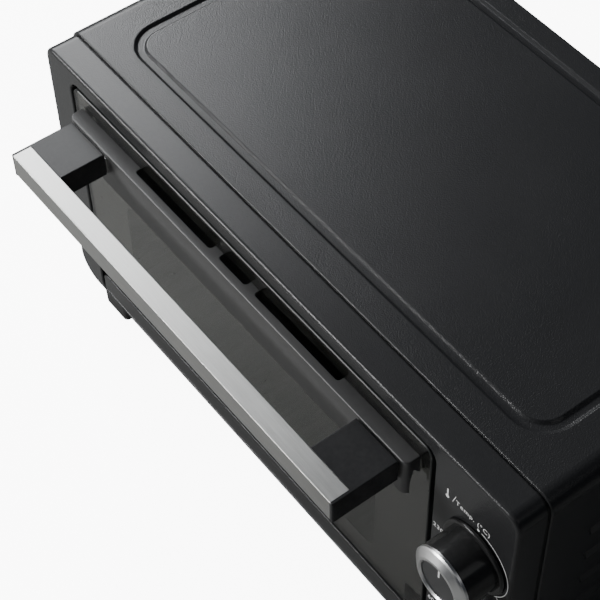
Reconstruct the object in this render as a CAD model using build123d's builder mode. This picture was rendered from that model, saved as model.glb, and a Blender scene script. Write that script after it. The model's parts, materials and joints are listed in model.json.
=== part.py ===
from build123d import *
import os

os.makedirs("parts", exist_ok=True)

# A compact countertop toaster oven. The row frame has +Z up, +X to the right of a person
# facing the door and the door on the -Y side. All values are in millimetres.

# ---------------------------------------------------------------- driving dimensions
WIDTH = 420.0  # front frame, side to side
FRAME_HEIGHT = 205.0
FRAME_DEPTH = 20.0
BODY_DEPTH = 241.0  # front face to the rear edge of the wrap
FOOT_HEIGHT = 17.0
HANDLE_REACH = 52.3  # from the front face to the front of the handle bar
GLAND_PROUD = 3.0
FRAME_SHEET = 2.0
WRAP_SHEET = 1.5
SHEET = 1.2
TOP_CORNER = 9.0
BOTTOM_CORNER = 19.0
RUNNING = 0.06  # radial clearance of a turning fit
ASIDE = 0.3  # gap between neighbours that do not touch

FRONT_Y = HANDLE_REACH - (HANDLE_REACH + BODY_DEPTH + GLAND_PROUD) / 2
BASE_Z = FOOT_HEIGHT
TOP_Z = FOOT_HEIGHT + FRAME_HEIGHT
HALF = WIDTH / 2

# Door glass and the recess that it closes
GLASS_LEFT = -181.6
GLASS_RIGHT = 146.8
GLASS_TOP = TOP_Z - 13.0
GLASS_BOTTOM = TOP_Z - 180.5
GLASS = 4.0
GLASS_CORNER = 6.0
DOOR_GAP = 2.8
RECESS_CORNER = GLASS_CORNER + DOOR_GAP
TRAY_CORNER = 6.0
RETURN_SHEET = 1.5
OPEN_LEFT = GLASS_LEFT - DOOR_GAP
OPEN_RIGHT = GLASS_RIGHT + DOOR_GAP
OPEN_TOP = GLASS_TOP + DOOR_GAP
OPEN_BOTTOM = TOP_Z - 201.2
DOOR_MID = (GLASS_LEFT + GLASS_RIGHT) / 2

# Door hinge axis, parallel to X
HINGE_DEPTH = 7.0
HINGE_Y = FRONT_Y + HINGE_DEPTH
HINGE_Z = GLASS_BOTTOM + 7.5
PIN_R = 2.0

# Handle: bar, two brackets and the folded rail that they are bolted to
RAIL_TOP = TOP_Z - 25.0
RAIL_REACH = 9.3
RAIL_DROP = 28.0
RAIL_HALF = 156.0
RAIL_SHEET = 1.2
BRACKET_TOP = TOP_Z - 26.0
BRACKET_HEIGHT = 16.5
BRACKET_WIDTH = 33.8
BRACKET_OUTER = 151.0  # from the door's middle to a bracket's outer side
BAR_DEPTH = 12.6
BAR_HEIGHT = 16.0
BAR_WALL = 1.5
END_WALL = 2.0

# Oven liner
LINER_LEFT = -174.0
LINER_RIGHT = 139.0
LINER_FLOOR = 50.5
LINER_CEILING = 198.0
LINER_FRONT = FRONT_Y + 7.5
LINER_BACK = FRONT_Y + 226.0

# Heaters: quartz tubes across the liner
HEATER_R = 5.0
HEATER_ROWS = {
    "upper_front": (FRONT_Y + 72.0, LINER_CEILING - 17.0),
    "upper_rear": (FRONT_Y + 162.0, LINER_CEILING - 17.0),
    "lower_front": (FRONT_Y + 72.0, LINER_FLOOR + 14.0),
    "lower_rear": (FRONT_Y + 162.0, LINER_FLOOR + 14.0),
}
CERAMIC_R = 7.5

# Controls: two dials, one above the other
DIAL_X = 183.6
DIAL_SPACING = 80.0
TEMPERATURE_Z = TOP_Z - 61.5
TIMER_Z = TEMPERATURE_Z - DIAL_SPACING
LAMP_Z = TIMER_Z - 38.0
KNOB_R = 19.5
SKIRT_R = 22.6
RING_R = 19.7
CAP_R = 12.6
KNOB_REACH = 26.0
SHAFT_R = 3.0
BUSH_R = 5.0
LAMP_R = 3.5
LAMP_BODY_R = 4.5
CONTROL_PLATE_Y = FRONT_Y + 12.0

# Crumb tray, below the door
TRAY_TOP = TOP_Z - 184.5
TRAY_BOTTOM = TOP_Z - 200.3
TRAY_FLOOR = BASE_Z + 5.0

# Feet
FOOT_SIZE = 26.5
FOOT_CORNER = 4.0
FOOT_DRAFT = 2.0
FOOT_BORE_R = 5.0
FOOT_BORE_DEPTH = 6.0
FOOT_X = 176.0
FOOT_FRONT_Y = FRONT_Y + 15.0
FOOT_REAR_Y = FRONT_Y + BODY_DEPTH - 24.0
SCREW_R = 1.7
SHANK_R = 1.6
FOOT_SCREW_TOP = BASE_Z + FRAME_SHEET + 0.2
COVER_SCREWS = [(x, z) for x in (-204.0, 204.0) for z in (48.0, 122.0, 196.0)]


def upright(y):
    """Plane that faces the door side at a given depth, with +X to the right and +Z up."""
    return Plane.XZ.offset(-y)


def side_on(x):
    """Plane that faces +X at a given width, with +Y to the right and +Z up."""
    return Plane.YZ.offset(x)


def front_shape(y, x0, x1, z0, z1, r_top=0.0, r_bottom=0.0):
    """Upright rectangle whose top and bottom corners have their own radii."""
    with BuildSketch(upright(y)) as shape:
        with Locations(((x0 + x1) / 2, (z0 + z1) / 2)):
            Rectangle(x1 - x0, z1 - z0)
        if r_top > 0:
            fillet(shape.vertices().group_by(Axis.Y)[-1], r_top)
        if r_bottom > 0:
            fillet(shape.vertices().group_by(Axis.Y)[0], r_bottom)
    return shape.sketch


def casing(y, grow=0.0):
    """Outline of the casing, grown outward by a given distance."""
    left, right = -HALF - grow, HALF + grow
    corners = (TOP_CORNER + grow, BOTTOM_CORNER + grow)
    return front_shape(y, left, right, BASE_Z - grow, TOP_Z + grow, *corners)


def recess(y, grow=0.0):
    """Outline of the recess that holds the door and the crumb tray."""
    left, right = OPEN_LEFT - grow, OPEN_RIGHT + grow
    corners = (RECESS_CORNER + grow, TRAY_CORNER + grow)
    return front_shape(y, left, right, OPEN_BOTTOM - grow, OPEN_TOP + grow, *corners)


def band(y0, y1, outer, inner):
    """Ring that follows the casing's outline between two depths and two offsets."""
    return extrude(casing(y0, outer), amount=y0 - y1) - extrude(casing(y0 - 1, inner), amount=y0 - y1 - 2)


def slab(x0, x1, y0, y1, z0, z1, mode=Mode.ADD):
    """Block between two corners, sides along the axes."""
    with Locations(((x0 + x1) / 2, (y0 + y1) / 2, (z0 + z1) / 2)):
        return Box(abs(x1 - x0), abs(y1 - y0), abs(z1 - z0), mode=mode)


def rod(start, end, radius, mode=Mode.ADD):
    """Round bar or hole from one point to another."""
    run = Vector(*end) - Vector(*start)
    with Locations(Plane(origin=start, z_dir=run)):
        return Cylinder(radius, run.length, align=(Align.CENTER, Align.CENTER, Align.MIN), mode=mode)


def at_depth(part, y):
    """Edges that lie wholly at one depth."""
    return part.edges().filter_by(
        lambda edge: abs(edge.bounding_box().min.Y - y) < 0.01 and abs(edge.bounding_box().max.Y - y) < 0.01
    )


def finish(part, name):
    """Name a sub-part and write its STEP file."""
    part.label = name
    export_step(part, f"parts/{name}.step")


# ================================================================ casing
# Front frame: a drawn shell with a recess for the door and a closed panel for the dials.
LIP_Y = FRONT_Y + FRAME_DEPTH + 8.0
GROOVE_Y = FRONT_Y + FRAME_DEPTH - 1.2
GROOVE_DEPTH = 0.9
seam_groove = band(GROOVE_Y, FRONT_Y + FRAME_DEPTH, 1.0, -GROOVE_DEPTH)
with BuildPart() as front_frame:
    extrude(casing(FRONT_Y), amount=FRONT_Y - LIP_Y)
    fillet(at_depth(front_frame, FRONT_Y), 2.4)
    extrude(casing(FRONT_Y + FRAME_SHEET, -FRAME_SHEET), amount=-FRAME_DEPTH * 2, mode=Mode.SUBTRACT)
    extrude(recess(FRONT_Y + 1, RETURN_SHEET), amount=1 - FRAME_DEPTH)
    extrude(recess(FRONT_Y), amount=-FRAME_DEPTH * 2, mode=Mode.SUBTRACT)
    rim = at_depth(front_frame, FRONT_Y).filter_by(
        lambda edge: edge.bounding_box().min.X > OPEN_LEFT - 0.1
        and edge.bounding_box().max.X < OPEN_RIGHT + 0.1
        and edge.bounding_box().min.Z > OPEN_BOTTOM - 0.1
        and edge.bounding_box().max.Z < OPEN_TOP + 0.1
    )
    fillet(rim, 1.2)
    add(seam_groove, mode=Mode.SUBTRACT)
    for x in (OPEN_LEFT, OPEN_RIGHT):
        rod((x - 4, HINGE_Y, HINGE_Z), (x + 4, HINGE_Y, HINGE_Z), PIN_R + RUNNING, Mode.SUBTRACT)
    for z, radius in ((TEMPERATURE_Z, 4.0), (TIMER_Z, 4.0), (LAMP_Z, LAMP_R + 0.1)):
        rod((DIAL_X, FRONT_Y - 1, z), (DIAL_X, FRONT_Y + 5, z), radius, Mode.SUBTRACT)
    for x in (-FOOT_X, FOOT_X):
        rod((x, FOOT_FRONT_Y, BASE_Z - 2), (x, FOOT_FRONT_Y, FOOT_SCREW_TOP), SCREW_R, Mode.SUBTRACT)
finish(front_frame.part, "front_frame")

# Outer wrap: one bent sheet over the top and both sides, with a bead pressed into its top,
# louvres in its sides and a flange folded inward at the rear for the back cover.
WRAP_Y = FRONT_Y + FRAME_DEPTH
WRAP_ROUND = 0.9
BACK_Y = FRONT_Y + BODY_DEPTH
COVER_Y = BACK_Y - 4.2
BEAD_X = 179.5
BEAD_FRONT_Y = FRONT_Y + 40.0
BEAD_REAR_Y = FRONT_Y + 223.0
BEAD_WIDTH = 7.5
BEAD_DEPTH = 1.5
BEAD_SLOPE = 50.0  # of its sides, from upright
BEAD_CORNER = 18.0
BEAD_ROUND = 1.2
BEAD_MID_Y = (BEAD_FRONT_Y + BEAD_REAR_Y) / 2


def bead_ring(z, margin):
    """Rounded ring along the bead's centre line, wider than the bead by a margin on each side."""
    half = BEAD_WIDTH / 2 + margin
    length, depth = 2 * BEAD_X, BEAD_REAR_Y - BEAD_FRONT_Y
    with BuildSketch(Plane((0, BEAD_MID_Y, z))) as ring:
        RectangleRounded(length + 2 * half, depth + 2 * half, BEAD_CORNER + half)
        RectangleRounded(length - 2 * half, depth - 2 * half, BEAD_CORNER - half, mode=Mode.SUBTRACT)
    return ring.sketch


wrap_shell = band(WRAP_Y, BACK_Y, WRAP_SHEET, 0.0)
rear_flange = band(COVER_Y - SHEET, COVER_Y, 0.0, -11.0)
LOUVRE_LENGTH = 60.0
LOUVRE_SLOT = 2.4
LOUVRE_PROUD = 1.5
LOUVRE_HOOD = 5.5
LOUVRE_STARTS = (FRONT_Y + 51.0, FRONT_Y + 131.0)
LOUVRE_ROWS = [TOP_Z - 55.0 - 24.0 * i for i in range(4)]
with BuildPart() as outer_wrap:
    add(wrap_shell)
    add(rear_flange)
    slab(-190, 190, WRAP_Y - 1, BACK_Y + 1, BASE_Z - 5, BASE_Z, Mode.SUBTRACT)
    extrude(bead_ring(TOP_Z - BEAD_DEPTH, 1.3), amount=BEAD_DEPTH)
    extrude(bead_ring(TOP_Z + WRAP_SHEET, 0.0), amount=-BEAD_DEPTH, taper=BEAD_SLOPE, mode=Mode.SUBTRACT)
    bead_edges = outer_wrap.edges().filter_by(
        lambda edge: edge.bounding_box().size.Z < 0.01
        and edge.bounding_box().min.Z > TOP_Z - 0.01
        and abs(edge.center().X) < BEAD_X + BEAD_WIDTH
        and BEAD_FRONT_Y - BEAD_WIDTH < edge.center().Y < BEAD_REAR_Y + BEAD_WIDTH
    )
    fillet(bead_edges, BEAD_ROUND)
    front_rim = at_depth(outer_wrap, WRAP_Y).filter_by(
        lambda edge: edge.bounding_box().max.Z > TOP_Z + 0.1 or abs(edge.center().X) > HALF + 0.1
    )
    fillet(front_rim, WRAP_ROUND)
    for side in (-1, 1):
        face_x = side * (HALF + WRAP_SHEET)
        sunk = face_x - side * 0.2
        with BuildSketch(side_on(face_x - side * 5)):
            for y in LOUVRE_STARTS:
                for z in LOUVRE_ROWS:
                    with Locations((y + LOUVRE_LENGTH / 2, z - LOUVRE_SLOT / 2)):
                        Rectangle(LOUVRE_LENGTH, LOUVRE_SLOT)
        extrude(amount=side * 8, mode=Mode.SUBTRACT)
        for y in LOUVRE_STARTS:
            with BuildSketch(upright(y)):
                for z in LOUVRE_ROWS:
                    with BuildLine():
                        Polyline(
                            (sunk, z), (face_x + side * LOUVRE_PROUD, z), (sunk, z + LOUVRE_HOOD), close=True
                        )
                    make_face()
            extrude(amount=-LOUVRE_LENGTH)
    for x, z in COVER_SCREWS:
        rod((x, COVER_Y - 5, z), (x, COVER_Y + 5, z), SCREW_R, Mode.SUBTRACT)
finish(outer_wrap.part, "outer_wrap")

# Back cover: a flat sheet against the wrap's rear flange, with rows of vent slots.
GLAND_X = 172.0
GLAND_Z = 44.0
GLAND_R = 7.0
with BuildPart() as back_cover:
    cover_outline = front_shape(COVER_Y, -HALF + 0.2, HALF - 0.2, BASE_Z + 0.2, TOP_Z - 0.2, 8.8, 18.8)
    extrude(cover_outline, amount=-SHEET)
    for centre_x, centre_z, columns, rows in ((-90, 150, 7, 4), (90, 150, 7, 4), (0, 50, 10, 2)):
        with BuildSketch(upright(COVER_Y - 1)):
            with Locations((centre_x, centre_z)):
                with GridLocations(21.0, 12.0, columns, rows):
                    SlotOverall(15.0, 3.6)
        extrude(amount=-4, mode=Mode.SUBTRACT)
    rod((GLAND_X, COVER_Y - 5, GLAND_Z), (GLAND_X, COVER_Y + 5, GLAND_Z), GLAND_R + 0.1, Mode.SUBTRACT)
    for x, z in COVER_SCREWS:
        rod((x, COVER_Y - 5, z), (x, COVER_Y + 5, z), SCREW_R, Mode.SUBTRACT)
finish(back_cover.part, "back_cover")

# Bottom plate: closes the casing between the wrap's lower edges.
PLATE_Y = LIP_Y + ASIDE
with BuildPart() as bottom_plate:
    slab(-191, 191, PLATE_Y, COVER_Y - SHEET - ASIDE, BASE_Z, BASE_Z + SHEET)
    with BuildSketch(Plane((0, (PLATE_Y + BACK_Y) / 2, BASE_Z - 1))):
        with GridLocations(30.0, 40.0, 9, 3):
            SlotOverall(18.0, 4.0)
    extrude(amount=4, mode=Mode.SUBTRACT)
    for x in (-FOOT_X, FOOT_X):
        rod((x, FOOT_REAR_Y, BASE_Z - 2), (x, FOOT_REAR_Y, BASE_Z + 3), SCREW_R, Mode.SUBTRACT)
finish(bottom_plate.part, "bottom_plate")

# Feet: moulded blocks with rounded corners, each with a counterbored screw from below.
FEET = {
    "front_left": (-FOOT_X, FOOT_FRONT_Y),
    "front_right": (FOOT_X, FOOT_FRONT_Y),
    "rear_left": (-FOOT_X, FOOT_REAR_Y),
    "rear_right": (FOOT_X, FOOT_REAR_Y),
}
for corner, (x, y) in FEET.items():
    with BuildPart(Plane((x, y, 0))) as foot:
        with BuildSketch(Plane((x, y, FOOT_HEIGHT))):
            RectangleRounded(FOOT_SIZE, FOOT_SIZE, FOOT_CORNER)
        extrude(amount=-FOOT_HEIGHT, taper=FOOT_DRAFT)
        fillet(foot.edges().group_by(Axis.Z)[0], 2.0)
        Cylinder(
            FOOT_BORE_R, FOOT_BORE_DEPTH, align=(Align.CENTER, Align.CENTER, Align.MIN), mode=Mode.SUBTRACT
        )
        Cylinder(SCREW_R, FOOT_HEIGHT * 3, mode=Mode.SUBTRACT)
    finish(foot.part, f"foot_{corner}")

with BuildPart() as foot_screws:
    for x, y in FEET.values():
        rod((x, y, FOOT_BORE_DEPTH - 2.4), (x, y, FOOT_BORE_DEPTH), 3.6)
        rod((x, y, FOOT_BORE_DEPTH), (x, y, FOOT_SCREW_TOP), SHANK_R)
finish(foot_screws.part, "foot_screws")

with BuildPart() as cover_screws:
    for x, z in COVER_SCREWS:
        rod((x, COVER_Y + SHEET, z), (x, COVER_Y + SHEET + 2.2, z), 3.4)
        rod((x, COVER_Y - 7, z), (x, COVER_Y + SHEET, z), SHANK_R)
finish(cover_screws.part, "cover_screws")

# Mains inlet: bush in the back cover and the terminal block inside.
with BuildPart() as cable_gland:
    rod((GLAND_X, COVER_Y - 9, GLAND_Z), (GLAND_X, COVER_Y + SHEET, GLAND_Z), GLAND_R)
    rod((GLAND_X, COVER_Y + SHEET, GLAND_Z), (GLAND_X, BACK_Y + GLAND_PROUD, GLAND_Z), GLAND_R + 2.2)
    fillet(cable_gland.edges().group_by(Axis.Y)[-1], 1.2)
    rod((GLAND_X, COVER_Y - 12, GLAND_Z), (GLAND_X, BACK_Y + 9, GLAND_Z), 3.8, Mode.SUBTRACT)
finish(cable_gland.part, "cable_gland")

with BuildPart() as terminal_block:
    slab(GLAND_X - 17, GLAND_X + 17, COVER_Y - 15, COVER_Y, GLAND_Z + 22, GLAND_Z + 38)
    chamfer(terminal_block.edges().filter_by(Axis.X), 1.0)
    for i in (-1, 0, 1):
        x = GLAND_X + i * 10
        rod((x, COVER_Y - 16, GLAND_Z + 30), (x, COVER_Y - 9, GLAND_Z + 30), 2.6, Mode.SUBTRACT)
finish(terminal_block.part, "terminal_block")

# ================================================================ oven liner and heaters
FLANGE_BOTTOM = HINGE_Z + 11.0
with BuildPart() as oven_liner:
    slab(
        LINER_LEFT - SHEET, LINER_RIGHT + SHEET, LINER_FRONT, LINER_BACK + SHEET,
        LINER_FLOOR - SHEET, LINER_CEILING + SHEET,
    )
    flange = front_shape(
        LINER_FRONT, OPEN_LEFT + ASIDE, OPEN_RIGHT - ASIDE, FLANGE_BOTTOM, OPEN_TOP - ASIDE,
        RECESS_CORNER - ASIDE,
    )
    extrude(flange, amount=-SHEET)
    slab(
        LINER_LEFT, LINER_RIGHT, LINER_FRONT - 1, LINER_BACK, LINER_FLOOR, LINER_CEILING, Mode.SUBTRACT
    )
    for y, z in HEATER_ROWS.values():
        rod((LINER_LEFT - 5, y, z), (LINER_RIGHT + 5, y, z), CERAMIC_R + 0.1, Mode.SUBTRACT)
finish(oven_liner.part, "oven_liner")

RACK_WIRE = 2.0
LEDGE_Z = HINGE_Z + 65.0
RACK_Z = LEDGE_Z + ASIDE + RACK_WIRE
RACK_FRONT_Y = FRONT_Y + 22.0
RACK_REAR_Y = FRONT_Y + 214.0
for side, wall_x in (("left", LINER_LEFT), ("right", LINER_RIGHT)):
    inward = 1 if side == "left" else -1
    with BuildPart() as runner:
        slab(
            wall_x, wall_x + inward * 8.5, LINER_FRONT + 5, LINER_BACK - 4, LEDGE_Z - SHEET, LEDGE_Z
        )
        slab(wall_x, wall_x + inward, LINER_FRONT + 5, LINER_BACK - 4, LEDGE_Z, LEDGE_Z + 9)
    finish(runner.part, f"rack_runner_{side}")

for row, (y, z) in HEATER_ROWS.items():
    with BuildPart() as heater:
        rod((LINER_LEFT + 1, y, z), (LINER_RIGHT - 1, y, z), HEATER_R)
        fillet(heater.edges(), 0.8)
    finish(heater.part, f"heater_{row}")

with BuildPart() as heater_holders:
    for y, z in HEATER_ROWS.values():
        for wall_x, outward in ((LINER_LEFT, -1), (LINER_RIGHT, 1)):
            rod((wall_x - outward * 4, y, z), (wall_x + outward * 6, y, z), CERAMIC_R)
            rod((wall_x - outward * 5, y, z), (wall_x - outward, y, z), HEATER_R + 0.05, Mode.SUBTRACT)
            rod((wall_x - outward, y, z), (wall_x + outward * 8, y, z), 1.6, Mode.SUBTRACT)
finish(heater_holders.part, "heater_holders")

with BuildPart() as heater_terminals:
    for y, z in HEATER_ROWS.values():
        for wall_x, outward in ((LINER_LEFT, -1), (LINER_RIGHT, 1)):
            rod((wall_x - outward, y, z), (wall_x + outward * 14, y, z), 1.5)
finish(heater_terminals.part, "heater_terminals")

SHIELD_X = LINER_RIGHT + 8.0
with BuildPart() as heat_shield:
    slab(SHIELD_X, SHIELD_X + SHEET, LIP_Y + 1, COVER_Y - 6, BASE_Z + SHEET, TOP_Z - 3)
    for y, z in HEATER_ROWS.values():
        rod((SHIELD_X - 2, y, z), (SHIELD_X + 4, y, z), 4.0, Mode.SUBTRACT)
finish(heat_shield.part, "heat_shield")

# ================================================================ crumb tray
GUIDE_REAR_Y = FOOT_REAR_Y - 6.0
with BuildPart() as tray_guides:
    for x0, x1, wall_x in (
        (OPEN_LEFT + 6, OPEN_LEFT + 18, OPEN_LEFT + 6),
        (OPEN_RIGHT - 18, OPEN_RIGHT - 6, OPEN_RIGHT - 11),
    ):
        slab(x0, x1, PLATE_Y + 1, GUIDE_REAR_Y, BASE_Z + SHEET, TRAY_FLOOR - ASIDE)
        slab(wall_x, wall_x + 5, PLATE_Y + 1, GUIDE_REAR_Y, TRAY_FLOOR - ASIDE, TRAY_FLOOR + 6)
finish(tray_guides.part, "tray_guides")

PAN_LEFT = OPEN_LEFT + 12.0
PAN_RIGHT = OPEN_RIGHT - 12.0
PAN_REAR_Y = LINER_BACK - 4.0
PAN_HEIGHT = 8.5
with BuildPart() as crumb_tray:
    slab(PAN_LEFT, PAN_RIGHT, FRONT_Y + FRAME_SHEET + 0.5, PAN_REAR_Y, TRAY_FLOOR, TRAY_FLOOR + PAN_HEIGHT)
    fillet(crumb_tray.edges().filter_by(Axis.Z).group_by(Axis.Y)[-1], 6.0)
    offset(amount=-1.0, openings=crumb_tray.faces().sort_by(Axis.Z)[-1])
finish(crumb_tray.part, "crumb_tray")

with BuildPart() as tray_front:
    extrude(front_shape(FRONT_Y, GLASS_LEFT, GLASS_RIGHT, TRAY_BOTTOM, TRAY_TOP, 5.0, 2.0), amount=-2.5)
    fillet(at_depth(tray_front, FRONT_Y), 0.9)
finish(tray_front.part, "tray_front")

# ================================================================ wire rack
RACK_LEFT = LINER_LEFT + 4.5
RACK_RIGHT = LINER_RIGHT - 4.5
RACK_BARS = 17
with BuildPart() as wire_rack:
    with BuildLine(Plane.XY.offset(RACK_Z)) as hoop:
        FilletPolyline(
            (RACK_LEFT, RACK_FRONT_Y),
            (RACK_RIGHT, RACK_FRONT_Y),
            (RACK_RIGHT, RACK_REAR_Y),
            (RACK_LEFT, RACK_REAR_Y),
            close=True,
            radius=10.0,
        )
    with BuildSketch(Plane(origin=hoop.line @ 0, z_dir=hoop.line % 0)):
        Circle(RACK_WIRE)
    sweep()
    span = RACK_RIGHT - RACK_LEFT
    for i in range(1, RACK_BARS + 1):
        x = RACK_LEFT + span * i / (RACK_BARS + 1)
        rod((x, RACK_FRONT_Y, RACK_Z), (x, RACK_REAR_Y, RACK_Z), 1.3)
    for share in (0.33, 0.67):
        y = RACK_FRONT_Y + (RACK_REAR_Y - RACK_FRONT_Y) * share
        rod((RACK_LEFT, y, RACK_Z - 0.4), (RACK_RIGHT, y, RACK_Z - 0.4), 1.5)
finish(wire_rack.part, "wire_rack")

# ================================================================ door
SCREW_Z = BRACKET_TOP - BRACKET_HEIGHT / 2
BRACKET_MID = BRACKET_OUTER - BRACKET_WIDTH / 2
HANDLE_SCREWS = [DOOR_MID + side * BRACKET_MID + step for side in (-1, 1) for step in (-8, 8)]
with BuildPart() as door_glass:
    pane = front_shape(
        FRONT_Y, GLASS_LEFT, GLASS_RIGHT, GLASS_BOTTOM, GLASS_TOP, GLASS_CORNER, GLASS_CORNER
    )
    extrude(pane, amount=-GLASS)
    chamfer(door_glass.edges().group_by(Axis.Y)[0] + door_glass.edges().group_by(Axis.Y)[-1], 0.5)
    for x in HANDLE_SCREWS:
        rod((x, FRONT_Y - 2, SCREW_Z), (x, FRONT_Y + 6, SCREW_Z), 3.0, Mode.SUBTRACT)
finish(door_glass.part, "door_glass")

# Rail: folded sheet with a front flange, two shaped end flanges and notches against the glass.
RAIL_FRONT_Y = FRONT_Y - RAIL_REACH
RAIL_LEFT = DOOR_MID - RAIL_HALF
RAIL_RIGHT = DOOR_MID + RAIL_HALF
NOTCHES = ((-94.1, -20.2), (-12.7, 12.7), (20.2, 94.1))
NOTCH_DEPTH = 4.2
with BuildPart() as door_rail:
    slab(RAIL_LEFT, RAIL_RIGHT, RAIL_FRONT_Y, FRONT_Y, RAIL_TOP - RAIL_DROP, RAIL_TOP)
    fillet(door_rail.edges().filter_by(Axis.Z).group_by(Axis.Y)[0], 4.0)
    fillet(at_depth(door_rail, RAIL_FRONT_Y).filter_by(Axis.X).sort_by(Axis.Z)[-1], 0.8)
    with BuildSketch(Plane.XY.offset(RAIL_TOP - RAIL_SHEET)):
        with Locations((DOOR_MID, FRONT_Y)):
            RectangleRounded(2 * (RAIL_HALF - RAIL_SHEET), 2 * (RAIL_REACH - RAIL_SHEET), 2.8)
    extrude(amount=-RAIL_DROP, mode=Mode.SUBTRACT)
    with BuildSketch(side_on(RAIL_LEFT - 1)):
        with BuildLine():
            low = RAIL_TOP - RAIL_DROP - 1
            start = (RAIL_FRONT_Y + 3.4, low)
            crest = (RAIL_FRONT_Y + 5.4, RAIL_TOP - 9.0)
            ThreePointArc(start, (RAIL_FRONT_Y + 3.7, RAIL_TOP - 15.0), crest)
            Polyline(crest, (FRONT_Y, RAIL_TOP - 14.0), (FRONT_Y + 1, low), start)
        make_face()
    extrude(amount=2 * RAIL_HALF + 2, mode=Mode.SUBTRACT)
    for x0, x1 in NOTCHES:
        with BuildSketch(Plane.XY.offset(RAIL_TOP + 1)):
            with Locations((DOOR_MID + (x0 + x1) / 2, FRONT_Y)):
                RectangleRounded(x1 - x0, 2 * NOTCH_DEPTH, 2.2)
        extrude(amount=-4, mode=Mode.SUBTRACT)
    for x in HANDLE_SCREWS:
        rod((x, FRONT_Y - 12, SCREW_Z), (x, FRONT_Y + 2, SCREW_Z), 2.2, Mode.SUBTRACT)
finish(door_rail.part, "door_rail")

with BuildPart() as handle_sleeves:
    for x in HANDLE_SCREWS:
        rod((x, RAIL_FRONT_Y + RAIL_SHEET, SCREW_Z), (x, FRONT_Y, SCREW_Z), 4.5)
        rod((x, RAIL_FRONT_Y, SCREW_Z), (x, FRONT_Y + 1, SCREW_Z), 2.2, Mode.SUBTRACT)
finish(handle_sleeves.part, "handle_sleeves")

PLATE_PROUD = 1.2
with BuildPart() as handle_plates:
    for side in (-1, 1):
        outer_x = DOOR_MID + side * (BRACKET_OUTER - 1.0)
        inner_x = DOOR_MID + side * (BRACKET_OUTER - BRACKET_WIDTH - PLATE_PROUD)
        slab(outer_x, inner_x, RAIL_FRONT_Y - 1, RAIL_FRONT_Y, SCREW_Z - 6.5, SCREW_Z + 5.5)
    for x in HANDLE_SCREWS:
        rod((x, FRONT_Y - 15, SCREW_Z), (x, FRONT_Y + 2, SCREW_Z), 2.2, Mode.SUBTRACT)
finish(handle_plates.part, "handle_plates")

# Brackets: moulded blocks, each with an end wall over the bar's end and a tongue inside the bar.
HANDLE_FRONT_Y = FRONT_Y - HANDLE_REACH
BAR_REAR_Y = HANDLE_FRONT_Y + BAR_DEPTH
BAR_BOTTOM = BRACKET_TOP - BAR_HEIGHT
BRACKET_BOTTOM = BRACKET_TOP - BRACKET_HEIGHT
INSIDE_BAR = BAR_WALL + 0.1
for side, sign in (("left", -1), ("right", 1)):
    outer_x = DOOR_MID + sign * BRACKET_OUTER
    inner_x = outer_x - sign * BRACKET_WIDTH
    seat_x = outer_x - sign * END_WALL
    with BuildPart() as bracket:
        slab(outer_x, inner_x, HANDLE_FRONT_Y, RAIL_FRONT_Y - 1, BRACKET_BOTTOM, BRACKET_TOP)
        front_edges = bracket.edges().filter_by(Axis.Z).group_by(Axis.Y)[0].sort_by(Axis.X)
        fillet(front_edges[0] if sign < 0 else front_edges[-1], 1.0)
        chamfer(bracket.edges().group_by(Axis.Z)[-1], 0.4)
        slab(
            seat_x, inner_x - sign, HANDLE_FRONT_Y - 1, BAR_REAR_Y,
            BRACKET_BOTTOM - 1, BRACKET_TOP + 1, Mode.SUBTRACT,
        )
        tongue_x = seat_x - sign * 14.0
        slab(
            seat_x, tongue_x, HANDLE_FRONT_Y + INSIDE_BAR, BAR_REAR_Y - INSIDE_BAR,
            BAR_BOTTOM + INSIDE_BAR, BRACKET_TOP - INSIDE_BAR,
        )
        for x in HANDLE_SCREWS:
            rod((x, FRONT_Y - 31, SCREW_Z), (x, FRONT_Y, SCREW_Z), 2.1, Mode.SUBTRACT)
    finish(bracket.part, f"handle_bracket_{side}")

with BuildPart() as handle_bar:
    bar_half = BRACKET_OUTER - END_WALL
    slab(
        DOOR_MID - bar_half, DOOR_MID + bar_half, HANDLE_FRONT_Y, BAR_REAR_Y, BAR_BOTTOM, BRACKET_TOP
    )
    fillet(handle_bar.edges().filter_by(Axis.X), 0.6)
    slab(
        DOOR_MID - bar_half - 1, DOOR_MID + bar_half + 1,
        HANDLE_FRONT_Y + BAR_WALL, BAR_REAR_Y - BAR_WALL, BAR_BOTTOM + BAR_WALL, BRACKET_TOP - BAR_WALL,
        Mode.SUBTRACT,
    )
finish(handle_bar.part, "handle_bar")

CLAMP_SHEET = 1.2
CLAMP_Y = FRONT_Y + GLASS
with BuildPart() as glass_clamp:
    clamp_outline = front_shape(
        CLAMP_Y, DOOR_MID - BRACKET_OUTER, DOOR_MID + BRACKET_OUTER, SCREW_Z - 8, SCREW_Z + 8, 3.0, 3.0
    )
    extrude(clamp_outline, amount=-CLAMP_SHEET)
    for x in HANDLE_SCREWS:
        rod((x, CLAMP_Y - 2, SCREW_Z), (x, CLAMP_Y + 3, SCREW_Z), 2.2, Mode.SUBTRACT)
finish(glass_clamp.part, "glass_clamp")

with BuildPart() as handle_screws:
    for x in HANDLE_SCREWS:
        rod((x, FRONT_Y - 30, SCREW_Z), (x, CLAMP_Y + CLAMP_SHEET, SCREW_Z), 2.0)
        rod((x, CLAMP_Y + CLAMP_SHEET, SCREW_Z), (x, CLAMP_Y + CLAMP_SHEET + 1.8, SCREW_Z), 3.8)
finish(handle_screws.part, "handle_screws")

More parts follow.
